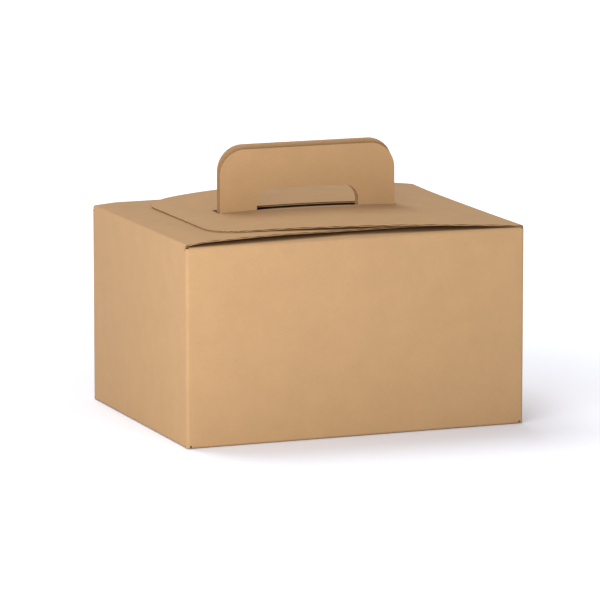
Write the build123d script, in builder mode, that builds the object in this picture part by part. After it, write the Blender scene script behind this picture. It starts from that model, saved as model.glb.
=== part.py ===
import os

from build123d import *

# Takeaway carrying box, die-cut from one sheet of fine-flute kraft board, folded and glued.
# The frame: X along the long side, the front wall towards -Y, Z up, and the origin at the
# middle of the underside.

# Driving dimensions, in millimetres
LENGTH = 250.0
WIDTH = 195.0
HEIGHT = 140.0
BOARD = 1.2
CORNER_RADIUS = 3.0
CREASE_RADIUS = 1.6
CREASE_MARGIN = 0.4

# Top of each crease: the long flaps fold in first, then the inner flap, then the outer one
LONG_FLAP_CREASE = HEIGHT - 1.6
INNER_FLAP_CREASE = HEIGHT

# Carrying handle: half of it stands up from each long flap
HANDLE_LENGTH = 130.6
HANDLE_CORNER = 18.5
FRONT_HANDLE_FACE = -4.0
FRONT_HANDLE_TOP = 189.7
BACK_HANDLE_FACE = 2.0
BACK_HANDLE_TOP = 192.7
FINGER_HOLE_LENGTH = 76.4
FINGER_HOLE_TOP = 161.0
FINGER_HOLE_RADIUS = 11.0
LONG_FLAP_RISE = 0.2
LONG_FLAP_TAPER = 2.0

# Slotted cover flaps, hinged on the short walls
COVER_REACH = 220.4
COVER_OUTLINE_MARGIN = 1.0
COVER_HINGE_WIDTH = 191.0
COVER_END_WIDTH = 143.6
COVER_CORNER = 24.0
SLOT_LENGTH = 136.3
SLOT_SHIFT = 0.85
SLOT_FRONT = -4.3
SLOT_BACK = 10.0
SLOT_CORNER = 1.0

# Free shape of the inner cover: it springs up from its crease and droops to its end
INNER_BEND = 0.95
INNER_SPRING_REACH = 15.0
INNER_SPRING_RISE = 1.6
INNER_SPRING_RADIUS = 60.0
INNER_PEAK_REACH = 65.0
INNER_PEAK_RISE = 2.6
INNER_PEAK_RADIUS = 1000.0
INNER_END_RISE = -0.1

# Free shape of the outer cover: a shallow arch, higher along its back edge
OUTER_END_RISE = 3.4
OUTER_ARCH_FRONT = 2.0
OUTER_ARCH_BACK = 7.0

# Hinge of the outer cover: a round bead over the bevelled top of the right wall
HINGE_BEAD = 0.63
HINGE_GAP = 0.1
HINGE_BEVEL_WIDTH = 0.9
HINGE_BEVEL_DROP = 1.0

# Notches between the flaps at the top corners
NOTCH_INSET_LOW = 4.5
NOTCH_INSET_HIGH = 2.0

# Glue tab inside the back wall
GLUE_TAB = 30.0
GLUE_TAB_END_CUT = 7.0
GLUE_PRESS = 0.1

# Snap-lock bottom
LOCK_TAPER = 25.0
BACK_LOCK_REACH = 119.5
BACK_LOCK_WIDTH = 243.0
BACK_LOCK_END_WIDTH = 237.0
BACK_LOCK_NOTCH_WIDTH = 92.0
BACK_LOCK_NOTCH_DEPTH = 30.0
BACK_LOCK_SHOULDER = 10.0
FRONT_LOCK_REACH = 83.5
FRONT_LOCK_WIDTH = 243.0
FRONT_LOCK_END_WIDTH = 196.0
TONGUE_WIDTH = 84.0
TONGUE_REACH = 48.0
TONGUE_RISE_RUN = 22.0
TONGUE_CORNER = 9.0
TONGUE_ROOT = 2.0
SIDE_LOCK_REACH = 75.0
SIDE_LOCK_WIDTH = 188.0
SIDE_LOCK_FRONT_TRIM = 8.3
SIDE_LOCK_BACK_TRIM = 5.0
HOOK_FRONT = -18.8
HOOK_BACK = 23.5
CORNER_FOOT = 0.3

# Derived values
HALF = BOARD / 2
BEND = CREASE_RADIUS - HALF
WALL_X = LENGTH / 2 - HALF
WALL_Y = WIDTH / 2 - HALF
WALL_FOOT = CREASE_RADIUS + CREASE_MARGIN
RING_TOP = LONG_FLAP_CREASE - CREASE_RADIUS - CREASE_MARGIN
HINGE_Z = HEIGHT - HINGE_BEAD
HINGE_X = LENGTH / 2 - HINGE_BEAD
LAYER_TWO = HALF + BOARD
LAYER_THREE = HALF + 2 * BOARD
LAYER_FOUR = HALF + 3 * BOARD


def folded_strip(plane, points, radii, width):
    """A strip of board bent along a path drawn in the middle of its thickness."""
    with BuildPart() as strip:
        with BuildSketch(plane):
            with BuildLine():
                FilletPolyline(*points, radius=radii)
            trace(line_width=BOARD)
        extrude(amount=width / 2, both=True)
    return strip.part


def cut_to_outline(strip, outline, corners, radius):
    """Trims a folded strip to its die-cut outline in plan; the named corners are rounded."""
    with BuildPart() as flap:
        add(strip)
        with BuildSketch(Plane.XY):
            with BuildLine():
                Polyline(*outline, close=True)
            make_face()
            if corners:
                round_ones = [v for v in vertices() if (round(v.X, 3), round(v.Y, 3)) in corners]
                fillet(round_ones, radius=radius)
        extrude(amount=2 * HEIGHT, mode=Mode.INTERSECT)
    return flap.part


def rounded_corners(points):
    """The corner keys that cut_to_outline looks for."""
    return {(round(x, 3), round(y, 3)) for x, y in points}


def wall_ring():
    """Four walls folded from one strip, whose glue tab is pressed to the back wall's inside."""
    glued_y = WALL_Y - BOARD + GLUE_PRESS
    left_run = [
        (LENGTH / 2 - BOARD, WALL_Y),
        (-WALL_X, WALL_Y),
        (-WALL_X, -WALL_Y),
        (0, -WALL_Y),
    ]
    right_run = [
        (0, -WALL_Y),
        (WALL_X, -WALL_Y),
        (WALL_X, glued_y),
        (WALL_X - GLUE_TAB, glued_y),
    ]
    with BuildPart() as ring:
        with BuildSketch(Plane.XY.offset(WALL_FOOT)):
            for run in (left_run, right_run):
                with BuildLine():
                    FilletPolyline(*run, radius=CORNER_RADIUS - HALF)
                trace(line_width=BOARD)
        extrude(amount=RING_TOP - WALL_FOOT)
        # the folds reach down to the table between the bottom flaps
        corner_x = LENGTH / 2 - CORNER_RADIUS / 2
        corner_y = WIDTH / 2 - CORNER_RADIUS / 2
        with BuildSketch(Plane.XY.offset(CORNER_FOOT)):
            RectangleRounded(LENGTH, WIDTH, CORNER_RADIUS)
            RectangleRounded(
                LENGTH - 2 * BOARD, WIDTH - 2 * BOARD, CORNER_RADIUS - BOARD, mode=Mode.SUBTRACT
            )
            with GridLocations(2 * corner_x, 2 * corner_y, 2, 2):
                Rectangle(CORNER_RADIUS, CORNER_RADIUS, mode=Mode.INTERSECT)
        extrude(amount=WALL_FOOT - CORNER_FOOT)
    return ring.part


def glue_tab_trim():
    """The slanted ends cut off the glue tab, so that it clears the flaps."""
    free_end = WALL_X - GLUE_TAB - BOARD
    with BuildPart() as trim:
        with BuildSketch(Plane.XZ.offset(-(WALL_Y - BOARD))):
            for level, inward in ((WALL_FOOT, 1), (RING_TOP, -1)):
                with BuildLine():
                    Polyline(
                        (WALL_X - CORNER_RADIUS, level),
                        (WALL_X - CORNER_RADIUS, level + inward * GLUE_TAB_END_CUT / 2),
                        (free_end, level + inward * 2 * GLUE_TAB_END_CUT),
                        (free_end, level),
                        close=True,
                    )
                make_face()
        extrude(amount=HALF, both=True)
    return trim.part


def side_wall_top(side):
    """The top of a short wall above the long flaps' creases, with the corner notches."""
    level = INNER_FLAP_CREASE - CREASE_RADIUS if side < 0 else HINGE_Z - HINGE_BEAD - HINGE_GAP
    low = WIDTH / 2 - NOTCH_INSET_LOW
    high = WIDTH / 2 - NOTCH_INSET_HIGH
    with BuildPart() as top:
        with BuildSketch(Plane.YZ.offset(side * WALL_X)):
            with BuildLine():
                Polyline((-low, RING_TOP), (-high, level), (high, level), (low, RING_TOP), close=True)
            make_face()
        extrude(amount=HALF, both=True)
        if side > 0:
            outer_edge = top.edges().filter_by(Axis.Y).group_by(Axis.Z)[-1].sort_by(Axis.X)[-1]
            chamfer(outer_edge, length=HINGE_BEVEL_DROP, length2=HINGE_BEVEL_WIDTH)
    return top.part


def long_flap(side, face, handle_top):
    """A long wall's top flap with its half of the handle standing on the inner edge."""
    handle_y = face - side * HALF
    crease_z = LONG_FLAP_CREASE - HALF
    path = [
        (side * WALL_Y, RING_TOP),
        (side * WALL_Y, crease_z),
        (handle_y, crease_z + LONG_FLAP_RISE),
        (handle_y, handle_top),
    ]
    strip = folded_strip(Plane.YZ, path, [BEND, BEND], LENGTH)
    panel_end = handle_y + side * (CREASE_RADIUS + HALF)
    wall_half = LENGTH / 2 - CORNER_RADIUS
    inner_half = wall_half - LONG_FLAP_TAPER
    with BuildPart() as keep:
        with BuildSketch(Plane.XY.offset(RING_TOP)):
            with BuildLine():
                Polyline(
                    (-wall_half, side * WIDTH / 2),
                    (wall_half, side * WIDTH / 2),
                    (inner_half, panel_end),
                    (-inner_half, panel_end),
                    close=True,
                )
            make_face()
        extrude(amount=HEIGHT - RING_TOP)
        with BuildSketch(Plane.XZ.offset(-handle_y)) as half_outline:
            handle_foot = crease_z - BOARD
            with Locations((0, (handle_top + handle_foot) / 2)):
                Rectangle(HANDLE_LENGTH, handle_top - handle_foot)
            fillet(half_outline.vertices().group_by(Axis.Y)[-1], radius=HANDLE_CORNER)
        extrude(amount=2 * CREASE_RADIUS, both=True)
        with BuildSketch(Plane.XZ.offset(-handle_y)) as finger_hole:
            hole_foot = LONG_FLAP_CREASE + LONG_FLAP_RISE + CREASE_RADIUS
            with Locations((0, (FINGER_HOLE_TOP + hole_foot) / 2)):
                Rectangle(FINGER_HOLE_LENGTH, FINGER_HOLE_TOP - hole_foot)
            fillet(finger_hole.vertices().group_by(Axis.Y)[-1], radius=FINGER_HOLE_RADIUS)
        extrude(amount=3 * CREASE_RADIUS, both=True, mode=Mode.SUBTRACT)
    with BuildPart() as flap:
        add(strip)
        add(keep.part, mode=Mode.INTERSECT)
    return flap.part


def cover_outline(side):
    """Plan of a slotted cover: it narrows from its crease, and its free corners are round."""
    crease_x = side * (LENGTH / 2 + COVER_OUTLINE_MARGIN)
    end_x = side * (LENGTH / 2 - COVER_REACH)
    hinge_half = COVER_HINGE_WIDTH / 2
    end_half = COVER_END_WIDTH / 2
    points = [(crease_x, -hinge_half), (end_x, -end_half), (end_x, end_half), (crease_x, hinge_half)]
    with BuildPart() as prism:
        with BuildSketch(Plane.XY.offset(HEIGHT / 2)) as plan:
            with BuildLine():
                Polyline(*points, close=True)
            make_face()
            free_corners = plan.vertices().sort_by(Axis.X)
            fillet(free_corners[:2] if side > 0 else free_corners[-2:], radius=COVER_CORNER)
            with Locations((-side * SLOT_SHIFT, (SLOT_FRONT + SLOT_BACK) / 2)):
                RectangleRounded(
                    SLOT_LENGTH, SLOT_BACK - SLOT_FRONT, SLOT_CORNER, mode=Mode.SUBTRACT
                )
        extrude(amount=HEIGHT)
    return prism.part


def inner_cover():
    """The cover flap of the left wall, part of the box body."""
    crease_z = INNER_FLAP_CREASE - HALF
    path = [
        (-WALL_X, INNER_FLAP_CREASE - CREASE_RADIUS),
        (-WALL_X, crease_z),
        (-WALL_X + INNER_SPRING_REACH, crease_z + INNER_SPRING_RISE),
        (-WALL_X + INNER_PEAK_REACH, crease_z + INNER_PEAK_RISE),
        (-LENGTH / 2 + COVER_REACH, crease_z + INNER_END_RISE),
    ]
    radii = [INNER_BEND, INNER_SPRING_RADIUS, INNER_PEAK_RADIUS]
    strip = folded_strip(Plane.XZ, path, radii, WIDTH)
    with BuildPart() as flap:
        add(strip)
        add(cover_outline(-1), mode=Mode.INTERSECT)
    return flap.part


def bottom_flaps():
    """The four flaps of the snap-lock bottom, locked: each lies on the one before it."""
    back_strip = folded_strip(
        Plane.YZ,
        [
            (WALL_Y, WALL_FOOT),
            (WALL_Y, HALF),
            (WALL_Y - LOCK_TAPER, LAYER_THREE),
            (WIDTH / 2 - BACK_LOCK_REACH, LAYER_THREE),
        ],
        [BEND, 2 * LOCK_TAPER],
        LENGTH,
    )
    half = BACK_LOCK_WIDTH / 2
    end_half = BACK_LOCK_END_WIDTH / 2
    back_end = WIDTH / 2 - BACK_LOCK_REACH
    notch = BACK_LOCK_NOTCH_WIDTH / 2
    notch_end = back_end + BACK_LOCK_NOTCH_DEPTH
    back = cut_to_outline(
        back_strip,
        [
            (-half, WIDTH / 2),
            (half, WIDTH / 2),
            (end_half, back_end),
            (notch + BACK_LOCK_SHOULDER, back_end),
            (notch, notch_end),
            (-notch, notch_end),
            (-notch - BACK_LOCK_SHOULDER, back_end),
            (-end_half, back_end),
        ],
        rounded_corners([(end_half, back_end), (-end_half, back_end)]),
        TONGUE_CORNER,
    )

    sides = []
    for side in (-1, 1):
        side_strip = folded_strip(
            Plane.XZ,
            [
                (side * WALL_X, WALL_FOOT),
                (side * WALL_X, HALF),
                (side * (WALL_X - LOCK_TAPER), LAYER_TWO),
                (side * (LENGTH / 2 - SIDE_LOCK_REACH), LAYER_TWO),
            ],
            [BEND, 2 * LOCK_TAPER],
            WIDTH,
        )
        hinge_half = SIDE_LOCK_WIDTH / 2
        end_x = side * (LENGTH / 2 - SIDE_LOCK_REACH)
        knee_x = side * (LENGTH / 2 - LOCK_TAPER)
        hook = [(end_x, HOOK_FRONT), (end_x, HOOK_BACK)]
        sides.append(
            cut_to_outline(
                side_strip,
                [
                    (side * LENGTH / 2, -hinge_half),
                    (knee_x, SIDE_LOCK_FRONT_TRIM - hinge_half),
                    hook[0],
                    hook[1],
                    (knee_x, hinge_half - SIDE_LOCK_BACK_TRIM),
                    (side * LENGTH / 2, hinge_half),
                ],
                rounded_corners(hook),
                TONGUE_CORNER,
            )
        )

    tongue_start = -WIDTH / 2 + FRONT_LOCK_REACH
    front_strip = folded_strip(
        Plane.YZ,
        [
            (-WALL_Y, WALL_FOOT),
            (-WALL_Y, HALF),
            (tongue_start, HALF),
            (tongue_start + TONGUE_RISE_RUN, LAYER_FOUR),
            (tongue_start + TONGUE_REACH, LAYER_FOUR),
        ],
        [BEND, TONGUE_CORNER, TONGUE_CORNER],
        LENGTH,
    )
    tongue = TONGUE_WIDTH / 2
    tongue_tip = [
        (tongue, tongue_start + TONGUE_REACH),
        (-tongue, tongue_start + TONGUE_REACH),
    ]
    front = cut_to_outline(
        front_strip,
        [
            (-FRONT_LOCK_WIDTH / 2, -WIDTH / 2),
            (FRONT_LOCK_WIDTH / 2, -WIDTH / 2),
            (FRONT_LOCK_END_WIDTH / 2, tongue_start - TONGUE_ROOT),
            (tongue, tongue_start - TONGUE_ROOT),
            tongue_tip[0],
            tongue_tip[1],
            (-tongue, tongue_start - TONGUE_ROOT),
            (-FRONT_LOCK_END_WIDTH / 2, tongue_start - TONGUE_ROOT),
        ],
        rounded_corners(tongue_tip),
        TONGUE_CORNER,
    )
    return [back, *sides, front]


os.makedirs("parts", exist_ok=True)

# Box body: walls, bottom, long flaps with the handle, and the inner cover, all one sheet
pieces = [
    side_wall_top(-1),
    side_wall_top(1),
    long_flap(-1, FRONT_HANDLE_FACE, FRONT_HANDLE_TOP),
    long_flap(1, BACK_HANDLE_FACE, BACK_HANDLE_TOP),
    inner_cover(),
    *bottom_flaps(),
]
with BuildPart() as box_body:
    add(wall_ring())
    add(glue_tab_trim(), mode=Mode.SUBTRACT)
    for piece in pieces:
        add(piece)
box_body.part.label = "box_body"

# Outer cover: an arched sheet between two edge profiles, with its round hinge edge
with BuildPart() as outer_cover:
    for edge, arch in ((1, OUTER_ARCH_FRONT), (-1, OUTER_ARCH_BACK)):
        with BuildSketch(Plane.XZ.offset(edge * WIDTH / 2)):
            with BuildLine():
                ThreePointArc(
                    (HINGE_X, HINGE_Z),
                    ((HINGE_X + LENGTH / 2 - COVER_REACH) / 2, HINGE_Z + OUTER_END_RISE / 2 + arch),
                    (LENGTH / 2 - COVER_REACH, HINGE_Z + OUTER_END_RISE),
                )
            trace(line_width=BOARD)
    loft(ruled=True)
    with BuildSketch(Plane.XZ.offset(COVER_HINGE_WIDTH / 2)):
        with Locations((HINGE_X, HINGE_Z)):
            Circle(HINGE_BEAD)
    extrude(amount=-COVER_HINGE_WIDTH)
    add(cover_outline(1), mode=Mode.INTERSECT)
outer_cover.part.label = "outer_cover"

export_step(box_body.part, "parts/box_body.step")
export_step(outer_cover.part, "parts/outer_cover.step")
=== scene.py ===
import math

import bmesh
import bpy
import numpy as np
from bpy.props import FloatProperty, FloatVectorProperty, PointerProperty
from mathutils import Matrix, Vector


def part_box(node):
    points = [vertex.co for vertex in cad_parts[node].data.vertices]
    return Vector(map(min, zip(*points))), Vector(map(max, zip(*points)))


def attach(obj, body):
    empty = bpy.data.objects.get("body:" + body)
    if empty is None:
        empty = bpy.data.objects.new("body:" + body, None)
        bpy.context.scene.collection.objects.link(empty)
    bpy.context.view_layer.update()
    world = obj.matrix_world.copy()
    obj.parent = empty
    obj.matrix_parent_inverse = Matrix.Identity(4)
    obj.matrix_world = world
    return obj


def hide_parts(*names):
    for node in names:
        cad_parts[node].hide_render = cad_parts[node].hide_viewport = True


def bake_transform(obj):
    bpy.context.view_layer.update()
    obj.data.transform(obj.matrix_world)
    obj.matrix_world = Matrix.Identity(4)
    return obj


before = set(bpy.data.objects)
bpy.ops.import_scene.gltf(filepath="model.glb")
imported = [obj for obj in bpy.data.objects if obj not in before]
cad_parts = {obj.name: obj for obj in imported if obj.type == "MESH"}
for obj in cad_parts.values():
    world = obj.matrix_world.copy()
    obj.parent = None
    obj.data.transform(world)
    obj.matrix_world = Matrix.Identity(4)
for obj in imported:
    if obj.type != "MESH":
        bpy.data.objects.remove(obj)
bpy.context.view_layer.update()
BODY_LOW, BODY_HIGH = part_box("box_body")

bl_info = {
    "name": "Carrying Box in Kraft Board",
    "version": (1, 0, 0),
    "blender": (4, 5, 0),
    "location": "View3D > Sidebar > Carrying Box",
    "description": "Builds a folded takeaway box with slotted covers and a standing handle",
    "category": "Add Mesh",
}

# Material places on every board piece
OUTSIDE, INSIDE, CUT = 0, 1, 2

# Which line of a grid is a border, and the line beside it
BORDERS = {
    "first row": (np.s_[0], np.s_[1]),
    "last row": (np.s_[-1], np.s_[-2]),
    "first column": (np.s_[:, 0], np.s_[:, 1]),
    "last column": (np.s_[:, -1], np.s_[:, -2]),
}

MM = 0.001
WELD = 0.02 * MM
SHARP_ANGLE = math.radians(35)

# Steps in the arc at a corner of an outline, and the place of the arc's middle on its path
ARC_STEPS = 32
ARC_MIDDLE = 1 + ARC_STEPS // 2


def linear(code):
    """A colour for Blender from an sRGB hex code, each channel through the sRGB curve."""
    srgb = np.array([int(code[i : i + 2], 16) for i in (1, 3, 5)]) / 255
    return np.where(srgb <= 0.04045, srgb / 12.92, ((srgb + 0.055) / 1.055) ** 2.4).tolist()


class BoxSizes(bpy.types.PropertyGroup):
    """Sizes of the folded box."""

    length: FloatProperty(
        name="Length",
        description="Outside length of the box",
        default=BODY_HIGH.x - BODY_LOW.x,
        unit="LENGTH",
    )
    width: FloatProperty(
        name="Width",
        description="Outside width of the box",
        default=BODY_HIGH.y - BODY_LOW.y,
        unit="LENGTH",
    )
    board: FloatProperty(
        name="Board",
        description="Thickness of the corrugated board",
        default=1.2 * MM,
        precision=4,
        unit="LENGTH",
    )
    corner: FloatProperty(
        name="Corner",
        description="Outer radius of the upright folds",
        default=2.2 * MM,
        precision=4,
        unit="LENGTH",
    )
    handle_length: FloatProperty(
        name="Handle length",
        description="Length of the standing handle",
        default=131.6 * MM,
        unit="LENGTH",
    )
    handle_top: FloatProperty(
        name="Handle top",
        description="Height of the handle's back half above the table",
        default=BODY_HIGH.z,
        unit="LENGTH",
    )
    handle_step: FloatProperty(
        name="Handle step",
        description="How much lower the handle's front half stands",
        default=3 * MM,
        precision=4,
        unit="LENGTH",
    )
    cover_reach: FloatProperty(
        name="Cover reach",
        description="Length of each cover from its crease to its free edge",
        default=220.4 * MM,
        unit="LENGTH",
    )


class KraftFinish(bpy.types.PropertyGroup):
    """Colours and flutes of the kraft board."""

    outside: FloatVectorProperty(
        name="Outside liner",
        description="Colour of the liner that faces out",
        default=linear("#B18D64"),
        subtype="COLOR",
        size=3,
    )
    inside: FloatVectorProperty(
        name="Inside liner",
        description="Colour of the liner that faces in",
        default=linear("#AB875F"),
        subtype="COLOR",
        size=3,
    )
    hollow: FloatVectorProperty(
        name="Flute hollow",
        description="Colour of the shade between the flutes at a cut edge",
        default=linear("#4F3722"),
        subtype="COLOR",
        size=3,
    )
    flute: FloatProperty(
        name="Flute pitch",
        description="Distance from one flute to the next",
        default=2.4 * MM,
        precision=4,
        unit="LENGTH",
    )


class StudioLight(bpy.types.PropertyGroup):
    """Light of the studio."""

    key: FloatProperty(
        name="Key light",
        description="Power of the soft light at the front left",
        default=4.5,
        unit="POWER",
    )
    top: FloatProperty(
        name="Top light",
        description="Strength of the broad light from above and behind",
        default=1.35,
    )
    fill: FloatProperty(
        name="Fill",
        description="Brightness of the white room round the box",
        default=0.63,
    )


def folded_path(corners, radii, runs, steps=8):
    """Straight runs joined by arcs that touch them: each arc starts before its corner by its
    radius times the tangent of half the turn, and its points are the touching point turned
    about the arc's centre. Gives points, left-hand normals and the length so far."""
    corners = np.asarray(corners, float)
    ahead = np.diff(corners, axis=0)
    ahead /= np.linalg.norm(ahead, axis=1)[:, None]
    left = np.stack([-ahead[:, 1], ahead[:, 0]], axis=1)
    cross = ahead[:-1, 0] * ahead[1:, 1] - ahead[:-1, 1] * ahead[1:, 0]
    turns = np.arctan2(cross, (ahead[:-1] * ahead[1:]).sum(axis=1))
    reach = np.append(np.asarray(radii) * np.tan(np.abs(turns) / 2), 0)
    points, normals, start = [], [], corners[0]
    for i, run in enumerate(runs):
        stop = corners[i + 1] - ahead[i] * reach[i]
        share = np.linspace(0, 1, run + 1)[:, None]
        points.append(start + (stop - start) * share)
        normals.append(np.repeat(left[i : i + 1], run + 1, axis=0))
        if i < len(turns):
            turned = np.linspace(0, turns[i], steps + 1)[1:-1, None]
            spin = np.stack([np.cos(turned), -np.sin(turned), np.sin(turned), np.cos(turned)])
            centre = stop + np.sign(turns[i]) * radii[i] * left[i]
            for found, arm, hub in ((points, stop - centre, centre), (normals, left[i], 0)):
                moved = [spin[0] * arm[0] + spin[1] * arm[1], spin[2] * arm[0] + spin[3] * arm[1]]
                found.append(np.concatenate(moved, axis=1) + hub)
            start = corners[i + 1] + ahead[i + 1] * reach[i]
    points, normals = np.concatenate(points), np.concatenate(normals)
    length = np.append(0, np.cumsum(np.linalg.norm(np.diff(points, axis=0), axis=1)))
    return points, normals, length


def grid_patch(points, uv, slot, flip, wrap=False, keep=None):
    """Quads over a grid of points. wrap joins the last column to the first, and keep says
    which columns of quads stay."""
    rows, cols = points.shape[:2]
    index = np.arange(rows * cols).reshape(rows, cols)
    if wrap:
        index = np.concatenate([index, index[:, :1]], axis=1)
    quads = np.stack([index[:-1, :-1], index[1:, :-1], index[1:, 1:], index[:-1, 1:]], axis=-1)
    if keep is not None:
        quads = quads[:, keep]
    quads = quads.reshape(-1, 4)
    if flip:
        quads = quads[:, ::-1]
    return points.reshape(-1, 3), quads, uv.reshape(-1, 2)[quads], slot


def board_patches(mid, normal, uv, board, rims, wrap=False):
    """Gives a mid-surface the board's thickness: each liner is the mid-surface moved by half
    the board along its normal, and each rim joins the two liners along an open border."""
    outer, inner = mid + normal * board / 2, mid - normal * board / 2
    facing = np.cross(mid[1:, :-1] - mid[:-1, :-1], mid[:-1, 1:] - mid[:-1, :-1])
    flip = bool((facing * normal[:-1, :-1]).sum() < 0)
    patches = [
        grid_patch(outer, uv, OUTSIDE, flip, wrap),
        grid_patch(inner, uv, INSIDE, not flip, wrap),
    ]
    for border, keep in rims.items():
        line, beside = BORDERS[border]
        edge = np.stack([outer[line], inner[line]])
        place = np.stack([uv[line], uv[line]])
        place[0, :, 1], place[1, :, 1] = 0, board
        away = mid[line] - mid[beside]
        side = np.cross(edge[1, :-1] - edge[0, :-1], edge[0, 1:] - edge[0, :-1])
        turned = bool((side * away[:-1]).sum() < 0)
        patches.append(grid_patch(edge, place, CUT, turned, wrap and "row" in border, keep))
    return patches


def strip(axis, path, across, outward):
    """A folded strip: a path in the plane of the fold, carried along the third axis, where
    each row of across gives the places on that axis."""
    points, normals, length = path
    level = np.ones_like(across)
    a, b = points[:, :1] * level, points[:, 1:] * level
    na, nb = normals[:, :1] * level * outward, normals[:, 1:] * level * outward
    order = (across, a, b) if axis == "X" else (a, across, b)
    facing = (0 * level, na, nb) if axis == "X" else (na, 0 * level, nb)
    uv = np.stack([across, length[:, None] * level], axis=-1)
    return np.stack(order, axis=-1), np.stack(facing, axis=-1), uv


def panel(axis, plan, path, outward):
    """A flap seen in plan, whose height and normal follow a path: both are read off the path
    at each point's distance along the flap."""
    points, normals, _ = path
    along = plan[..., 1] if axis == "X" else plan[..., 0]
    order = np.argsort(points[:, 0])
    key, height = points[order, 0], points[order, 1]
    na, nb = (np.interp(along, key, normals[order, k]) * outward for k in (0, 1))
    size = np.hypot(na, nb)
    mid = np.concatenate([plan, np.interp(along, key, height)[..., None]], axis=-1)
    flat = np.zeros_like(na)
    facing = (flat, na / size, nb / size) if axis == "X" else (na / size, flat, nb / size)
    across = plan[..., 0] if axis == "X" else plan[..., 1]
    return mid, np.stack(facing, axis=-1), np.stack([across, along], axis=-1)


def between(near, far, rows):
    """Plan of a flap: each point moves straight from the near line to the far line."""
    share = np.linspace(0, 1, rows + 1)[:, None, None]
    return near + (far - near) * share


def sampled(points, share):
    """Points of a line at shares of its length."""
    length = np.append(0, np.cumsum(np.linalg.norm(np.diff(points, axis=0), axis=1)))
    return np.stack([np.interp(share * length[-1], length, points[:, k]) for k in (0, 1)], axis=1)


def crowded(steps):
    """Shares from 0 to 1 that crowd at both ends: half of one minus the cosine."""
    return (1 - np.cos(np.linspace(0, math.pi, steps + 1))) / 2


def closed_loop(corners, radii, counts):
    """A closed outline with round corners, cut at the middle of each corner's arc into one
    line per side. Each line is sampled at crowded shares of its length."""
    corners = np.asarray(corners, float)
    loop = []
    for i, count in enumerate(counts):
        around = [corners[(i + k) % len(corners)] for k in (-1, 0, 1, 2)]
        pair = [radii[i], radii[(i + 1) % len(corners)]]
        side = folded_path(around, pair, [1, 1, 1], ARC_STEPS)[0]
        loop.append(sampled(side[ARC_MIDDLE:-ARC_MIDDLE], crowded(count)[:-1]))
    return loop


def make_sheet(name, patches, materials):
    """One mesh from all patches, with points that meet joined and the edges of the board
    kept sharp."""
    starts = np.cumsum([0] + [len(points) for points, _, _, _ in patches])
    points = np.concatenate([p for p, _, _, _ in patches])
    quads = np.concatenate([q + s for (_, q, _, _), s in zip(patches, starts)])
    uv = np.concatenate([u.reshape(-1, 2) for _, _, u, _ in patches])
    places = np.concatenate([np.full(len(q), k) for _, q, _, k in patches])
    mesh = bpy.data.meshes.new(name)
    mesh.from_pydata(points.tolist(), [], quads.tolist())
    for material in materials:
        mesh.materials.append(material)
    mesh.polygons.foreach_set("material_index", places.astype(np.int32))
    mesh.uv_layers.new(name="board").data.foreach_set("uv", uv.astype(np.float32).ravel())
    joined = bmesh.new()
    joined.from_mesh(mesh)
    bmesh.ops.remove_doubles(joined, verts=joined.verts, dist=WELD)
    joined.to_mesh(mesh)
    joined.free()
    mesh.polygons.foreach_set("use_smooth", np.ones(len(mesh.polygons), bool))
    mesh.set_sharp_from_angle(angle=SHARP_ANGLE)
    sheet = bpy.data.objects.new(name, mesh)
    bpy.context.collection.objects.link(sheet)
    return sheet


def add_node(tree, kind, inputs=(), **settings):
    """Adds a node with its settings; each input is a value or the socket that feeds it."""
    node = tree.nodes.new(kind)
    for name, value in settings.items():
        setattr(node, name, value)
    for name, value in dict(inputs).items():
        if isinstance(value, bpy.types.NodeSocket):
            tree.links.new(value, node.inputs[name])
        else:
            node.inputs[name].default_value = value
    return node


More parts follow.
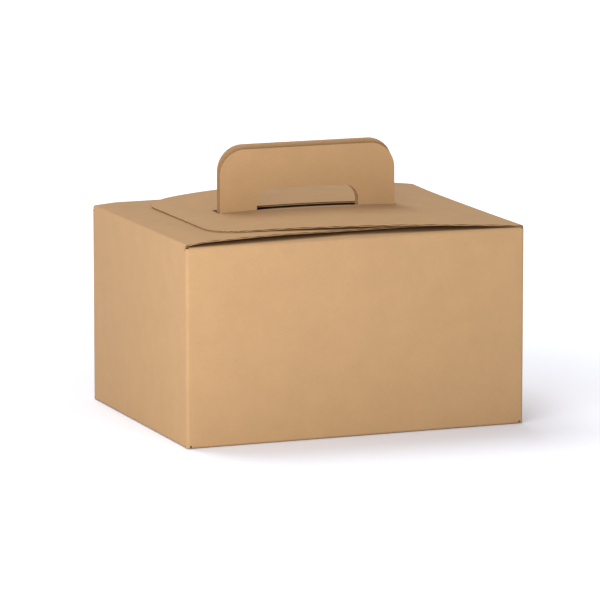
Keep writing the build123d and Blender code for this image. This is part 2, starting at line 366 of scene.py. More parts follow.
def kraft_liner(name, colour, flute):
    """Kraft linerboard, machine made and left unprinted: matt, with short fibres that streak
    it, faint clouds, and the flutes below showing as shallow ribs."""
    material = bpy.data.materials.new(name)
    material.use_nodes = True
    tree = material.node_tree
    shader = tree.nodes["Principled BSDF"]
    shader.inputs["Roughness"].default_value = 0.82
    shader.inputs["IOR"].default_value = 1.45
    shader.inputs["Specular IOR Level"].default_value = 0.3
    place = add_node(tree, "ShaderNodeTexCoord").outputs
    sheet = add_node(tree, "ShaderNodeUVMap", uv_map="board").outputs[0]
    # clouds about 15 mm across, from the pulp's uneven density
    clouds = add_node(
        tree,
        "ShaderNodeTexNoise",
        {"Vector": place["Object"], "Scale": 66.0, "Detail": 4.0, "Roughness": 0.6},
    ).outputs["Fac"]
    # fibres about 0.7 mm by 3 mm, drawn coarser than the real 0.05 mm so that they show
    stretched = add_node(
        tree, "ShaderNodeMapping", {"Vector": sheet, "Scale": (330.0, 1400.0, 1.0)}
    ).outputs[0]
    fibres = add_node(
        tree,
        "ShaderNodeTexNoise",
        {"Vector": stretched, "Scale": 1.0, "Detail": 4.0, "Roughness": 0.7},
    ).outputs["Fac"]
    # dark bark specks under a millimetre across
    grains = add_node(
        tree,
        "ShaderNodeTexNoise",
        {"Vector": place["Object"], "Scale": 900.0, "Detail": 2.0},
    ).outputs["Fac"]
    specks = add_node(
        tree,
        "ShaderNodeMapRange",
        {"Value": grains, "From Min": 0.66, "From Max": 0.74, "To Min": 1.0, "To Max": 0.93},
    ).outputs["Result"]
    cloud_tone = add_node(
        tree,
        "ShaderNodeMapRange",
        {"Value": clouds, "From Min": 0.3, "From Max": 0.7, "To Min": 0.968, "To Max": 1.032},
    ).outputs["Result"]
    fibre_tone = add_node(
        tree,
        "ShaderNodeMapRange",
        {"Value": fibres, "From Min": 0.3, "From Max": 0.7, "To Min": 0.96, "To Max": 1.04},
    ).outputs["Result"]
    tone = add_node(tree, "ShaderNodeMath", {0: cloud_tone, 1: fibre_tone}, operation="MULTIPLY")
    tone = add_node(tree, "ShaderNodeMath", {0: tone.outputs[0], 1: specks}, operation="MULTIPLY")
    toned = add_node(
        tree,
        "ShaderNodeVectorMath",
        {0: tuple(colour), "Scale": tone.outputs[0]},
        operation="SCALE",
    ).outputs[0]
    tree.links.new(toned, shader.inputs["Base Color"])
    # ribs over the flutes, a sine across them, with the fibres' own roughness on it
    across = add_node(tree, "ShaderNodeSeparateXYZ", {0: sheet}).outputs["X"]
    angle = add_node(
        tree, "ShaderNodeMath", {0: across, 1: 2 * math.pi / flute}, operation="MULTIPLY"
    ).outputs[0]
    wave = add_node(tree, "ShaderNodeMath", {0: angle}, operation="SINE").outputs[0]
    ribs = add_node(
        tree, "ShaderNodeMath", {0: wave, 1: 0.12, 2: fibres}, operation="MULTIPLY_ADD"
    ).outputs[0]
    bump = add_node(
        tree, "ShaderNodeBump", {"Height": ribs, "Strength": 0.5, "Distance": 0.06 * MM}
    ).outputs[0]
    tree.links.new(bump, shader.inputs["Normal"])
    return material


def cut_edge(name, liner, hollow, board, flute):
    """Corrugated board cut by a steel rule: two liners with the wavy medium between them and
    shade in the hollows, so that the edge shows a fine dark dash at each flute."""
    material = bpy.data.materials.new(name)
    material.use_nodes = True
    tree = material.node_tree
    shader = tree.nodes["Principled BSDF"]
    shader.inputs["Roughness"].default_value = 0.9
    shader.inputs["Specular IOR Level"].default_value = 0.2
    sheet = add_node(tree, "ShaderNodeUVMap", uv_map="board").outputs[0]
    parts = add_node(tree, "ShaderNodeSeparateXYZ", {0: sheet}).outputs
    angle = add_node(
        tree, "ShaderNodeMath", {0: parts["X"], 1: 2 * math.pi / flute}, operation="MULTIPLY"
    ).outputs[0]
    wave = add_node(tree, "ShaderNodeMath", {0: angle}, operation="SINE").outputs[0]
    # the medium swings 0.4 mm either side of the middle of the board
    medium = add_node(
        tree,
        "ShaderNodeMath",
        {0: wave, 1: 0.33 * board, 2: 0.5 * board},
        operation="MULTIPLY_ADD",
    ).outputs[0]
    apart = add_node(
        tree, "ShaderNodeMath", {0: parts["Y"], 1: medium}, operation="SUBTRACT"
    ).outputs[0]
    apart = add_node(tree, "ShaderNodeMath", {0: apart}, operation="ABSOLUTE").outputs[0]
    off_medium = add_node(
        tree,
        "ShaderNodeMapRange",
        {"Value": apart, "From Min": 0.1 * MM, "From Max": 0.25 * MM},
    ).outputs["Result"]
    centred = add_node(
        tree, "ShaderNodeMath", {0: parts["Y"], 1: 0.5 * board}, operation="SUBTRACT"
    ).outputs[0]
    centred = add_node(tree, "ShaderNodeMath", {0: centred}, operation="ABSOLUTE").outputs[0]
    # each liner is about 0.2 mm thick
    off_liner = add_node(
        tree,
        "ShaderNodeMapRange",
        {
            "Value": centred,
            "From Min": 0.5 * board - 0.3 * MM,
            "From Max": 0.5 * board - 0.18 * MM,
            "To Min": 1.0,
            "To Max": 0.0,
        },
    ).outputs["Result"]
    shade = add_node(tree, "ShaderNodeMath", {0: off_medium, 1: off_liner}, operation="MULTIPLY")
    mixed = add_node(
        tree,
        "ShaderNodeMix",
        {"Factor": shade.outputs[0], 6: (*liner, 1.0), 7: (*hollow, 1.0)},
        data_type="RGBA",
    ).outputs[2]
    tree.links.new(mixed, shader.inputs["Base Color"])
    return material


def board_materials(scene):
    """The three finishes of the board, made once."""
    kraft, sizes = scene.carrying_box_kraft, scene.carrying_box_sizes
    wanted = ("kraft_liner_outside", "kraft_liner_inside", "die_cut_flute_edge")
    if any(name not in bpy.data.materials for name in wanted):
        kraft_liner(wanted[0], kraft.outside, kraft.flute)
        kraft_liner(wanted[1], kraft.inside, kraft.flute)
        cut_edge(wanted[2], kraft.outside, kraft.hollow, sizes.board, kraft.flute)
    return [bpy.data.materials[name] for name in wanted]


# Walls: heights above the table of the flat part's ends and of each fold
WALL_FOOT = 2.0 * MM
WALL_TOP = 136.4 * MM
LONG_CREASE = 137.8 * MM
INNER_CREASE = 139.9 * MM
BEND = 1.0 * MM
WALL_ROWS = 24

# Upright folds reach past the walls' flat part, down to the feet and up to the top
FOLD_FEET = (0.3 * MM, 1.2 * MM)
FOLD_TOP = 137.7 * MM
FOLD_STEPS = 8

# Glued tab: its width, the slant of its ends and the film of glue
GLUE_TAB = 30.0 * MM
TAB_CUT = 14.0 * MM
GLUE_FILM = 0.05 * MM
TAB_STEPS = 8

# Long flaps: rise to the handle, narrowing of each side, and the part beside the handle
FLAP_RISE = 0.2 * MM
FLAP_TAPER = 2.0 * MM
HANDLE_FOOT = 2.4 * MM
FLAP_ROWS = 24
FLAP_STEPS = 12

# Handle, by the middle of each half's board
FRONT_HALF_Y = -3.4 * MM
BACK_HALF_Y = 1.4 * MM
HANDLE_CORNER = 18.5 * MM
HOLE_HALF = 38.2 * MM
HOLE_FOOT = 140.2 * MM
HOLE_TOP = 161.0 * MM
HOLE_CORNER = 11.0 * MM
HOLE_STEPS = 24
ARCH_COUNTS = (24, 48, 24)
ARCH_ROWS = 10

# Covers: how far their creases stand in from the walls' ends, and the places along them,
# counted from the crease
NOTCH_INSET = 4.0 * MM
TAPER_START = -1.0 * MM
CREASE_MIDDLE = 0.6 * MM
CREASE_END = 4.0 * MM
COVER_HINGE_HALF = 95.5 * MM
COVER_END_HALF = 71.8 * MM
COVER_CORNER = 24.0 * MM
TIGHT_CORNER = 0.01 * MM
SLOT_START = 57.7 * MM
SLOT_END = 194.0 * MM
OUTER_SLOT_END = 191.8 * MM
SLOT_FRONT = -4.3 * MM
SLOT_BACK = 10.0 * MM
SLOT_CORNER = 1.0 * MM
COVER_COUNTS = (48, 96, 48, 96)
COVER_ROWS = 20

# Inner cover: it springs up from its crease, peaks and droops to its free edge
SPRING_REACH = 15.0 * MM
SPRING_RISE = 1.6 * MM
SPRING_RADIUS = 60.0 * MM
PEAK_REACH = 65.0 * MM
PEAK_RISE = 2.6 * MM
PEAK_RADIUS = 1000.0 * MM
INNER_END_RISE = -0.1 * MM

# Outer cover: the hinge line, the rise and the arch of its free shape, and the crease's lift
HINGE_X = 124.37 * MM
HINGE_Z = 139.37 * MM
END_RISE = 3.75 * MM
ARCH_FRONT = 2.4 * MM
ARCH_BACK = 7.0 * MM
BACK_LIFT = 2.4 * MM
LIFT_START = -60.0 * MM
LIFT_POWER = 12
CREASE_FOOT = 137.4 * MM

# Bottom flaps, by the middle of their board
LAYERS = (0.6 * MM, 1.8 * MM, 3.0 * MM, 4.2 * MM)
LOCK_TAPER = 25.0 * MM
LOCK_START = 1.6 * MM
LOCK_CORNER = 9.0 * MM
LONG_LOCK_HALF = 121.5 * MM
SIDE_LOCK_HALF = 94.0 * MM

# Back bottom flap: its shoulder, its straight edge and the notch for the tongue
BACK_LOCK_HALF = 118.5 * MM
BACK_LOCK_SHOULDER = -13.0 * MM
BACK_LOCK_END = -22.0 * MM
NOTCH_MOUTH_HALF = 56.0 * MM
NOTCH_ROOT_HALF = 46.0 * MM
NOTCH_ROOT = 8.0 * MM
NOTCH_CORNER = 2.0 * MM

# Side bottom flaps: their far edge and the hooks at both ends
SIDE_LOCK_END = 50.0 * MM
SIDE_LOCK_CORNERS = ((100, -85.7), (50, -18.8), (50, 23.5), (100, 89))

# Front bottom flap: its edge, and the tongue with the slope it climbs
FRONT_LOCK_END = -16.0 * MM
FRONT_LOCK_HALF = 98.0 * MM
CLIMB_START = -14.0 * MM
CLIMB_END = 8.0 * MM
TONGUE_HALF = 42.0 * MM
TONGUE_SHOULDER = 25.0 * MM
TONGUE_END = 34.0 * MM

# Studio: paper floor, and where its painted glow starts and stops growing brighter
FLOOR_HALF = 30.0
FLOOR_LEVEL = -0.3 * MM
GLOW_START, GLOW_END, GLOW_STRENGTH = 0.16, 0.6, 0.35

# Studio: soft lamp at the front left, and broad light from above and behind
LAMP_AIM = (0, 0, 0.08)
LAMP_FROM_AIM = (-0.55, -0.64, 0.18)
LAMP_SIZE = (0.6, 0.24)
TOP_LIGHT_AHEAD = (0.14, -0.47, -0.87)
TOP_LIGHT_SPREAD = math.radians(35)
ROOM_COLOUR = (0.99, 0.99, 1.02, 1)

# Studio: camera, with its shift as a share of the picture's width
CAMERA_PLACE = (-1.2354, -3.1431, 0.6623)
CAMERA_YAW, CAMERA_PITCH = math.radians(21.46), math.radians(9.95)
LENS_LENGTH, SENSOR_WIDTH = 291.49, 36
LENS_SHIFT = (-5.88 / 600, 13.5 / 600)


def flap_columns(half, handle_half):
    """Places across a long flap: the handle's own columns, and even ones out to each side."""
    side = np.linspace(handle_half, half, FLAP_STEPS + 1)[1:]
    return np.concatenate([-side[::-1], handle_columns(handle_half), side])


def handle_columns(handle_half):
    """Places across the handle's foot: beside the finger hole and along it."""
    leg = np.linspace(HOLE_HALF, handle_half, ARCH_ROWS + 1)
    middle = np.linspace(-HOLE_HALF, HOLE_HALF, HOLE_STEPS + 1)
    return np.concatenate([-leg[::-1], middle[1:-1], leg])


def cover_half(reach, full_reach):
    """Half the width of a cover, which narrows evenly from its crease to its free edge."""
    share = (reach - TAPER_START) / (full_reach - TAPER_START)
    return COVER_HINGE_HALF + (COVER_END_HALF - COVER_HINGE_HALF) * share


def cover_plan(side, length, full_reach, slot_end):
    """Plan of a slotted cover as rings: from the slot's outline straight out to the cover's
    outline. The ring's first side is the one at the crease."""
    near, far = cover_half(CREASE_END, full_reach), cover_half(full_reach, full_reach)
    edge = [(CREASE_END, -near), (CREASE_END, near), (full_reach, far), (full_reach, -far)]
    slot = [
        (SLOT_START, SLOT_FRONT),
        (SLOT_START, SLOT_BACK),
        (slot_end, SLOT_BACK),
        (slot_end, SLOT_FRONT),
    ]
    radii = [TIGHT_CORNER, TIGHT_CORNER, COVER_CORNER, COVER_CORNER]
    outline = np.concatenate(closed_loop(edge, radii, COVER_COUNTS))
    hole = np.concatenate(closed_loop(slot, [SLOT_CORNER] * 4, COVER_COUNTS))
    outline[0], outline[COVER_COUNTS[0]] = edge[0], edge[1]
    plan = between(hole, outline, COVER_ROWS)
    return np.stack([side * (length / 2 - plan[..., 0]), plan[..., 1]], axis=-1)


def cover_rims():
    """The slot's edge is cut all round, and the outline everywhere but at the crease."""
    cut = np.arange(sum(COVER_COUNTS)) >= COVER_COUNTS[0]
    return {"first row": None, "last row": cut}


def crease_columns(full_reach):
    """Places across a cover's crease, from one side to the other, as shares of its half."""
    near = cover_half(CREASE_END, full_reach)
    return (-near + 2 * near * crowded(COVER_COUNTS[0])) / near


def wall_ring(sizes, levels):
    """Four walls and their upright folds: a plan line carried straight up. The seam's tab runs
    on inside the back wall, and its ends are cut slanting."""
    half, corner = sizes.board / 2, sizes.corner - sizes.board / 2
    wall_x, wall_y = sizes.length / 2 - half, sizes.width / 2 - half
    flat_x, flat_y = wall_x - corner, wall_y - corner
    glued_y = wall_y - sizes.board - GLUE_FILM
    seam_y = glued_y - corner
    flap = flap_columns(flat_x, sizes.handle_length / 2)
    cover = crease_columns(sizes.cover_reach) * (sizes.width / 2 - NOTCH_INSET)
    back = np.append(sizes.length / 2 - sizes.board, flap[::-1])
    left = np.concatenate([[flat_y], cover[::-1], [-flat_y]])
    right = np.concatenate([[-flat_y], cover, [seam_y]])
    open_sides = np.zeros(len(left) - 1, bool)
    open_sides[[0, -1]] = True
    open_seam = np.zeros(len(back) - 1, bool)
    open_seam[0] = True
    fold_levels = np.concatenate([FOLD_FEET, levels, [FOLD_TOP]])
    free = (fold_levels[:-1] < WALL_FOOT) | (fold_levels[:-1] >= WALL_TOP)
    patches = []
    walls = (
        (back, wall_y, "X", 1, {"first column": None, "last row": open_seam}),
        (left, -wall_x, "Y", -1, {"last row": open_sides}),
        (flap, -wall_y, "X", -1, {}),
        (right, wall_x, "Y", 1, {"last row": open_sides}),
    )
    for line, place, axis, facing, rims in walls:
        across, up = np.meshgrid(line, levels)
        level = np.full_like(across, place)
        order = (across, level, up) if axis == "X" else (level, across, up)
        normal = np.zeros((*across.shape, 3))
        normal[..., 1 if axis == "X" else 0] = facing
        uv = np.stack([across, up], axis=-1)
        patches += board_patches(
            np.stack(order, axis=-1), normal, uv, sizes.board, {"first row": None, **rims}
        )
    folds = (
        ((-flat_x, flat_y), 90),
        ((-flat_x, -flat_y), 180),
        ((flat_x, -flat_y), 270),
        ((flat_x, seam_y), 0),
    )
    sides = {"first column": free, "last column": free}
    for centre, start in folds:
        degrees = start + np.linspace(0, 90, FOLD_STEPS + 1)
        turn, up = np.meshgrid(np.radians(degrees), fold_levels)
        normal = np.stack([np.cos(turn), np.sin(turn), 0 * turn], axis=-1)
        mid = normal * corner + np.array([*centre, 0])
        mid[..., 2] = up
        uv = np.stack([turn * corner, up], axis=-1)
        patches += board_patches(
            mid, normal, uv, sizes.board, {"first row": None, "last row": None, **sides}
        )
    run = np.linspace(0, 1, TAB_STEPS + 1)
    low, high = levels[0] + TAB_CUT * run, levels[-1] - TAB_CUT * run
    rise = np.linspace(0, 1, len(levels))[:, None]
    up = low + (high - low) * rise
    across = np.broadcast_to(flat_x - (GLUE_TAB - corner) * run, up.shape)
    mid = np.stack([across, np.full_like(up, glued_y), up], axis=-1)
    normal = np.zeros_like(mid)
    normal[..., 1] = 1
    rims = {"first row": None, "last row": None, "last column": None}
    return patches + board_patches(mid, normal, np.stack([across, up], axis=-1), sizes.board, rims)


def long_flap(sizes, side):
    """A long wall's top flap and its half of the handle: the fold's path carried along the
    box, then an arch whose points go straight from the finger hole to the outline."""
    handle_y = FRONT_HALF_Y if side < 0 else BACK_HALF_Y
    top = sizes.handle_top - (sizes.handle_step if side < 0 else 0)
    handle_half = sizes.handle_length / 2
    wall_y = side * (sizes.width / 2 - sizes.board / 2)
    flat_x = sizes.length / 2 - sizes.corner
    split_y = handle_y + side * HANDLE_FOOT
    share = (split_y - wall_y) / (handle_y - wall_y)
    split = (split_y, LONG_CREASE + FLAP_RISE * share)
    corners = [(wall_y, WALL_TOP), (wall_y, LONG_CREASE), split]
    panel_path = folded_path(corners, [BEND], [1, FLAP_ROWS])
    gone = (panel_path[0][:, 0] - wall_y) / (split_y - wall_y)
    halves = flat_x - FLAP_TAPER * gone
    across = np.stack([flap_columns(h, handle_half) for h in halves])
    beside = np.abs((across[-1, 1:] + across[-1, :-1]) / 2) > handle_half
    rims = {"first column": None, "last column": None, "last row": beside}
    patches = board_patches(*strip("X", panel_path, across, -side), sizes.board, rims)

    fold = (handle_y, LONG_CREASE + FLAP_RISE)
    foot_path = folded_path([split, fold, (handle_y, HOLE_FOOT)], [BEND], [2, 2])
    foot_columns = handle_columns(handle_half)
    across = np.broadcast_to(foot_columns, (len(foot_path[0]), len(foot_columns)))
    under_hole = np.abs((foot_columns[1:] + foot_columns[:-1]) / 2) < HOLE_HALF
    rims = {"first column": None, "last column": None, "last row": under_hole}
    patches += board_patches(*strip("X", foot_path, across, -side), sizes.board, rims)

    lines = []
    for half, height, radius in (
        (HOLE_HALF, HOLE_TOP, HOLE_CORNER),
        (handle_half, top, HANDLE_CORNER),
    ):
        corners = [(-half, HOLE_FOOT), (-half, height), (half, height), (half, HOLE_FOOT)]
        arch = folded_path(corners, [radius, radius], [1, 1, 1], ARC_STEPS)[0]
        first, second = ARC_MIDDLE, 3 * ARC_MIDDLE
        cuts = (arch[: first + 1], arch[first : second + 1], arch[second:])
        parts = [
            sampled(part, np.linspace(0, 1, count + 1)) for part, count in zip(cuts, ARCH_COUNTS)
        ]
        lines.append(np.concatenate([parts[0], parts[1][1:], parts[2][1:]]))
    plan = between(lines[0], lines[1], ARCH_ROWS)
    mid = np.stack([plan[..., 0], np.full_like(plan[..., 0], handle_y), plan[..., 1]], axis=-1)
    normal = np.zeros_like(mid)
    normal[..., 1] = side
    rims = {"first row": None, "last row": None}
    return patches + board_patches(mid, normal, plan, sizes.board, rims)


def inner_cover(sizes):
    """The left wall's slotted cover: its height follows a path that springs up from the
    crease, turns over a long arc and droops to the free edge."""
    wall_x = -sizes.length / 2 + sizes.board / 2
    free_x = -sizes.length / 2 + sizes.cover_reach
    corners = [
        (wall_x, INNER_CREASE),
        (wall_x + SPRING_REACH, INNER_CREASE + SPRING_RISE),
        (wall_x + PEAK_REACH, INNER_CREASE + PEAK_RISE),
        (free_x, INNER_CREASE + INNER_END_RISE),
    ]
    slope = SPRING_RISE / SPRING_REACH
    start_x = -sizes.length / 2 + CREASE_END
    start = (start_x, INNER_CREASE + slope * (start_x - wall_x))
    crease = folded_path([(wall_x, WALL_TOP), (wall_x, INNER_CREASE), start], [BEND], [3, 2])
    top = cover_half(CREASE_MIDDLE, sizes.cover_reach)
    end = cover_half(CREASE_END, sizes.cover_reach)
    low = sizes.width / 2 - NOTCH_INSET
    length = crease[2]
    halves = np.interp(length, [0, length[3], length[-1]], [low, top, end])
    across = halves[:, None] * crease_columns(sizes.cover_reach)
    rims = {"first column": None, "last column": None}
    patches = board_patches(*strip("Y", crease, across, 1), sizes.board, rims)
    shape = folded_path(corners, [SPRING_RADIUS, PEAK_RADIUS], [3, 8, 40], 64)
    plan = cover_plan(-1, sizes.length, sizes.cover_reach, SLOT_END)
    return patches + board_patches(
        *panel("Y", plan, shape, 1), sizes.board, cover_rims(), wrap=True
    )


def right_wall_top(sizes):
    """The right wall above the long flaps, up to where the outer cover's crease begins."""
    wall_x = sizes.length / 2 - sizes.board / 2
    path = folded_path([(wall_x, WALL_TOP), (wall_x, CREASE_FOOT)], [], [3])
    halves = np.linspace(sizes.width / 2 - NOTCH_INSET, crease_foot_half(sizes), 4)
    across = halves[:, None] * crease_columns(sizes.cover_reach)
    rims = {"first column": None, "last column": None, "last row": None}
    return board_patches(*strip("Y", path, across, -1), sizes.board, rims)


def crease_foot_half(sizes):
    """Half the width of the right wall where the outer cover's crease begins."""
    top = cover_half(CREASE_MIDDLE, sizes.cover_reach)
    share = (CREASE_FOOT - WALL_TOP) / (INNER_CREASE - BEND - WALL_TOP)
    low = sizes.width / 2 - NOTCH_INSET
    return low + (top - low) * share


def outer_height(x, y, sizes):
    """Middle of the outer cover's board: a straight rise from the hinge to the free edge, and
    on it a parabola across the length, whose height grows evenly from front to back. The
    crease's lift is added, less its product with a high power of the share of the way."""
    span = HINGE_X + sizes.cover_reach - sizes.length / 2
    share = np.clip((HINGE_X - x) / span, 0, 1)
    arch = ARCH_FRONT + (ARCH_BACK - ARCH_FRONT) * (y + sizes.width / 2) / sizes.width
    lift, lift_slope = crease_lift(y, sizes)
    height = HINGE_Z + END_RISE * share + 4 * arch * share * (1 - share)
    kept = 1 - share**LIFT_POWER
    fall = LIFT_POWER * lift * share ** (LIFT_POWER - 1)
    slope_x = -(END_RISE + 4 * arch * (1 - 2 * share) - fall) / span
    slope_y = 4 * share * (1 - share) * (ARCH_BACK - ARCH_FRONT) / sizes.width
    return height + lift * kept, slope_x, slope_y + lift_slope * kept


def crease_lift(y, sizes):
    """How far the outer cover's crease stands above its straight line towards the back: the
    square of the share of the way from where the lift starts. Gives the lift and its slope."""
    reach = sizes.width / 2 - LIFT_START
    share = np.maximum((y - LIFT_START) / reach, 0)
    return BACK_LIFT * share**2, 2 * BACK_LIFT * share / reach


def outer_cover(sizes):
    """The outer cover from just past its crease, as rings round its slot at the arched
    height; the normal is square to both slopes."""
    plan = cover_plan(1, sizes.length, sizes.cover_reach, OUTER_SLOT_END)
    height, slope_x, slope_y = outer_height(plan[..., 0], plan[..., 1], sizes)
    mid = np.concatenate([plan, height[..., None]], axis=-1)
    normal = np.stack([-slope_x, -slope_y, np.ones_like(height)], axis=-1)
    normal /= np.linalg.norm(normal, axis=-1)[..., None]
    uv = plan[..., ::-1]
    rims = {"first row": None, "last row": None}
    return board_patches(mid, normal, uv, sizes.board, rims, wrap=True)


def cover_crease(sizes):
    """The fold between the right wall and the outer cover: the fold's path at the front edge
    and at the back edge, and straight lines between the two."""
    wall_x = sizes.length / 2 - sizes.board / 2
    end_x = sizes.length / 2 - CREASE_END
    ends = []
    for y in (-sizes.width / 2, sizes.width / 2):
        end = (end_x, outer_height(end_x, y, sizes)[0] - crease_lift(y, sizes)[0])
        corners = [(wall_x, CREASE_FOOT), (wall_x, HINGE_Z), end]
        ends.append(folded_path(corners, [BEND], [2, 3], 12))
    top = cover_half(CREASE_MIDDLE, sizes.cover_reach)
    end = cover_half(CREASE_END, sizes.cover_reach)
    length = ends[0][2]
    halves = np.interp(length, [0, length[2], length[-1]], [crease_foot_half(sizes), top, end])
    across = halves[:, None] * crease_columns(sizes.cover_reach)
    share = ((across + sizes.width / 2) / sizes.width)[..., None]
    points = ends[0][0][:, None] * (1 - share) + ends[1][0][:, None] * share
    facing = -(ends[0][1][:, None] * (1 - share) + ends[1][1][:, None] * share)
    facing /= np.linalg.norm(facing, axis=-1)[..., None]
    lift = crease_lift(across, sizes)[0] * (length / length[-1])[:, None]
    mid = np.stack([points[..., 0], across, points[..., 1] + lift], axis=-1)
    normal = np.stack([facing[..., 0], np.zeros_like(across), facing[..., 1]], axis=-1)
    uv = np.stack([across, length[:, None] * np.ones_like(across)], axis=-1)
    rims = {"first column": None, "last column": None, "first row": None, "last row": None}
    return board_patches(mid, normal, uv, sizes.board, rims)


def bottom_flap(axis, side, shape, far, crease_half, sizes, rims, rows=12):
    """One bottom flap: its crease carried along the wall, and a panel in plan whose points go
    straight from the crease to the far outline, at the height of the flap's path."""
    wall, level = shape[0][0]
    key = 0 if axis == "X" else 1
    ends = [far[:, key].min(), far[:, key].max()]
    near = np.full_like(far, wall - side * LOCK_START)
    near[:, key] = np.interp(far[:, key], ends, [-crease_half, crease_half])
    second = shape[0][1]
    slope = (second[1] - level) / (second[0] - wall)
    start = (wall - side * LOCK_START, level - side * LOCK_START * slope)
    crease = folded_path([(wall, WALL_FOOT), (wall, level), start], [BEND], [1, 1])
    across = np.broadcast_to(near[:, key], (len(crease[0]), len(near)))
    sides = {"first column": None, "last column": None}
    patches = board_patches(
        *strip(axis, crease, across, side), sizes.board, {"first row": None, **sides}
    )
    path = folded_path(*shape)
    flat = panel(axis, between(near, far, rows), path, side)
    return patches + board_patches(*flat, sizes.board, {**sides, **rims})


def locked_bottom(sizes):
    """The snap-lock bottom: the back flap lies on the two side flaps, and the front flap's
    tongue comes up through the back flap's notch and lies on it."""
    wall_x, wall_y = sizes.length / 2 - sizes.board / 2, sizes.width / 2 - sizes.board / 2
    lift = [(wall_y, LAYERS[0]), (wall_y - LOCK_TAPER, LAYERS[2]), (BACK_LOCK_END, LAYERS[2])]
    outline = [
        (-BACK_LOCK_HALF, BACK_LOCK_SHOULDER),
        (-BACK_LOCK_HALF, BACK_LOCK_END),
        (-NOTCH_MOUTH_HALF, BACK_LOCK_END),
        (-NOTCH_ROOT_HALF, NOTCH_ROOT),
    ]
    outline += [(-x, y) for x, y in outline[::-1]]
    radii = [LOCK_CORNER, *[NOTCH_CORNER] * 4, LOCK_CORNER]
    far = folded_path(outline, radii, [0, 12, 8, 16, 8, 12, 0], 6)[0]
    path = (lift, [2 * LOCK_TAPER], [4, 8])
    patches = bottom_flap("X", 1, path, far, LONG_LOCK_HALF, sizes, {"last row": None}, 24)

    for side in (-1, 1):
        lift = [
            (side * wall_x, LAYERS[0]),
            (side * (wall_x - LOCK_TAPER), LAYERS[1]),
            (side * SIDE_LOCK_END, LAYERS[1]),
        ]
        hook = np.array(SIDE_LOCK_CORNERS) * MM * (side, 1)
        far = folded_path(hook, [LOCK_CORNER] * 2, [10, 8, 10], 6)[0]
        path = (lift, [2 * LOCK_TAPER], [4, 6])
        patches += bottom_flap("Y", side, path, far, SIDE_LOCK_HALF, sizes, {"last row": None})

    lift = [
        (-wall_y, LAYERS[0]),
        (CLIMB_START, LAYERS[0]),
        (CLIMB_END, LAYERS[3]),
        (TONGUE_END, LAYERS[3]),
    ]
    front_path = (lift, [LOCK_CORNER] * 2, [8, 4, 4])
    outline = [
        (-TONGUE_HALF, TONGUE_SHOULDER),
        (-TONGUE_HALF, TONGUE_END),
        (TONGUE_HALF, TONGUE_END),
        (TONGUE_HALF, TONGUE_SHOULDER),
    ]
    tongue = folded_path(outline, [LOCK_CORNER] * 2, [0, 10, 0], 8)[0]
    wing = np.linspace(TONGUE_HALF, FRONT_LOCK_HALF, 7)[1:]
    across = np.concatenate([-wing[::-1], tongue[:, 0], wing])
    far = np.stack([across, np.full_like(across, FRONT_LOCK_END)], axis=1)
    rims = {"last row": np.abs((across[1:] + across[:-1]) / 2) > TONGUE_HALF}
    patches += bottom_flap("X", -1, front_path, far, LONG_LOCK_HALF, sizes, rims)
    root = np.stack([tongue[:, 0], np.full(len(tongue), FRONT_LOCK_END)], axis=1)
    flat = panel("X", between(root, tongue, 16), folded_path(*front_path), -1)
    rims = {"first column": None, "last column": None, "last row": None}
    return patches + board_patches(*flat, sizes.board, rims)


def look_along(ahead):
    """The turn of a lamp or camera that looks along a direction, its top side up."""
    return ahead.to_track_quat("-Z", "Y").to_euler()


class BodySheetOperator(bpy.types.Operator):
    """Build the walls, long flaps, handle, inner cover and locked bottom as one folded sheet"""

    bl_idname = "mesh.carrying_box_body"
    bl_label = "Box Body Sheet"

    def execute(self, context):
        sizes = context.scene.carrying_box_sizes
        patches = wall_ring(sizes, np.linspace(WALL_FOOT, WALL_TOP, WALL_ROWS + 1))
        patches += long_flap(sizes, -1) + long_flap(sizes, 1)
        patches += inner_cover(sizes) + right_wall_top(sizes) + locked_bottom(sizes)
        sheet = make_sheet("box_body_sheet", patches, board_materials(context.scene))
        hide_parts("box_body")
        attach(sheet, "box")
        return {"FINISHED"}


class OuterCoverOperator(bpy.types.Operator):
    """Build the slotted outer cover from its crease to its free edge"""

    bl_idname = "mesh.carrying_box_cover"
    bl_label = "Outer Cover"

    def execute(self, context):
        sizes = context.scene.carrying_box_sizes
        materials = board_materials(context.scene)
        cover = make_sheet("outer_cover_panel", outer_cover(sizes), materials)
        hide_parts("outer_cover")
        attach(cover, "cover")
        return {"FINISHED"}


class CoverCreaseOperator(bpy.types.Operator):
    """Build the fold that joins the outer cover to the right wall"""

    bl_idname = "mesh.carrying_box_crease"
    bl_label = "Cover Crease"

    def execute(self, context):
        sizes = context.scene.carrying_box_sizes
        materials = board_materials(context.scene)
        crease = make_sheet("outer_cover_crease", cover_crease(sizes), materials)
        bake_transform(crease)
        return {"FINISHED"}


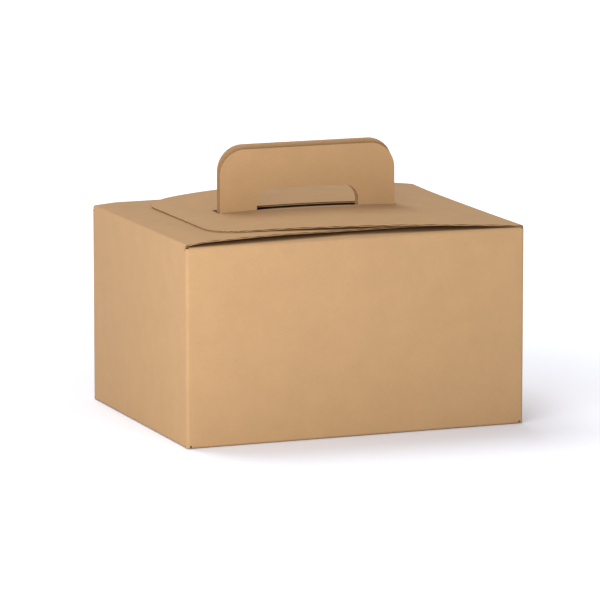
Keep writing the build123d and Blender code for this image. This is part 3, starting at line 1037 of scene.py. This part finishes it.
class StudioOperator(bpy.types.Operator):
    """Set up the pale floor, the soft light and the camera"""

    bl_idname = "scene.carrying_box_studio"
    bl_label = "Studio"

    def execute(self, context):
        light = context.scene.carrying_box_light
        context.scene.view_settings.view_transform = "Standard"
        corners = np.array([(-1, -1), (1, -1), (1, 1), (-1, 1)]) * FLOOR_HALF
        mesh = bpy.data.meshes.new("studio_floor")
        mesh.from_pydata([(x, y, FLOOR_LEVEL) for x, y in corners], [], [(0, 1, 2, 3)])
        floor = bpy.data.objects.new("studio_floor", mesh)
        context.collection.objects.link(floor)
        paper = bpy.data.materials.new("matt_white_paper_sweep")
        paper.use_nodes = True
        shader = paper.node_tree.nodes["Principled BSDF"]
        shader.inputs["Base Color"].default_value = (*linear("#F4F6FC"), 1)
        shader.inputs["Roughness"].default_value = 0.9
        shader.inputs["Specular IOR Level"].default_value = 0.1
        mesh.materials.append(paper)
        # painted glow: the far floor emits light that grows with distance from the box, so that it
        # stays white where the lamps don't reach
        place = add_node(paper.node_tree, "ShaderNodeTexCoord").outputs["Object"]
        away = add_node(
            paper.node_tree, "ShaderNodeVectorMath", {0: place}, operation="LENGTH"
        ).outputs["Value"]
        glow = add_node(
            paper.node_tree,
            "ShaderNodeMapRange",
            {
                "Value": away,
                "From Min": GLOW_START,
                "From Max": GLOW_END,
                "To Max": GLOW_STRENGTH,
            },
            interpolation_type="SMOOTHSTEP",
        ).outputs["Result"]
        shader.inputs["Emission Color"].default_value = (1, 1, 1, 1)
        paper.node_tree.links.new(glow, shader.inputs["Emission Strength"])

        room = bpy.data.worlds.new("white_room")
        room.use_nodes = True
        sky = room.node_tree.nodes["Background"]
        sky.inputs["Color"].default_value = ROOM_COLOUR
        sky.inputs["Strength"].default_value = light.fill
        context.scene.world = room

        soft = bpy.data.lights.new("key_softbox", "AREA")
        soft.shape, soft.energy = "RECTANGLE", light.key
        soft.size, soft.size_y = LAMP_SIZE
        key = bpy.data.objects.new("key_softbox", soft)
        context.collection.objects.link(key)
        key.location = Vector(LAMP_AIM) + Vector(LAMP_FROM_AIM)
        key.rotation_euler = look_along(-Vector(LAMP_FROM_AIM))

        broad = bpy.data.lights.new("top_light", "SUN")
        broad.energy, broad.angle = light.top, TOP_LIGHT_SPREAD
        top = bpy.data.objects.new("top_light", broad)
        context.collection.objects.link(top)
        top.rotation_euler = look_along(Vector(TOP_LIGHT_AHEAD))

        lens = bpy.data.cameras.new("photo_camera")
        lens.lens, lens.sensor_width = LENS_LENGTH, SENSOR_WIDTH
        lens.shift_x, lens.shift_y = LENS_SHIFT
        camera = bpy.data.objects.new("photo_camera", lens)
        context.collection.objects.link(camera)
        level = math.cos(CAMERA_PITCH)
        ahead = (level * math.sin(CAMERA_YAW), level * math.cos(CAMERA_YAW))
        camera.location = CAMERA_PLACE
        camera.rotation_euler = look_along(Vector((*ahead, -math.sin(CAMERA_PITCH))))
        context.scene.camera = camera
        return {"FINISHED"}


BUILD = (BodySheetOperator, OuterCoverOperator, CoverCreaseOperator, StudioOperator)


class BoxPanel(bpy.types.Panel):
    """Lists the box's settings and its building steps"""

    bl_idname = "VIEW3D_PT_carrying_box"
    bl_label = "Carrying Box"
    bl_space_type = "VIEW_3D"
    bl_region_type = "UI"
    bl_category = "Carrying Box"

    def draw(self, context):
        for group in ("sizes", "kraft", "light"):
            settings = getattr(context.scene, f"carrying_box_{group}")
            for name in settings.__annotations__:
                self.layout.prop(settings, name)
        for step in BUILD:
            self.layout.operator(step.bl_idname)


GROUPS = {"sizes": BoxSizes, "kraft": KraftFinish, "light": StudioLight}


def register():
    for kind in (*GROUPS.values(), *BUILD, BoxPanel):
        bpy.utils.register_class(kind)
    for name, kind in GROUPS.items():
        setattr(bpy.types.Scene, f"carrying_box_{name}", PointerProperty(type=kind))


def unregister():
    for name in GROUPS:
        delattr(bpy.types.Scene, f"carrying_box_{name}")
    for kind in (BoxPanel, *BUILD[::-1], *GROUPS.values()):
        bpy.utils.unregister_class(kind)


def main():
    register()
    for step in BUILD:
        group, name = step.bl_idname.split(".")
        getattr(getattr(bpy.ops, group), name)()


if __name__ == "__main__":
    main()
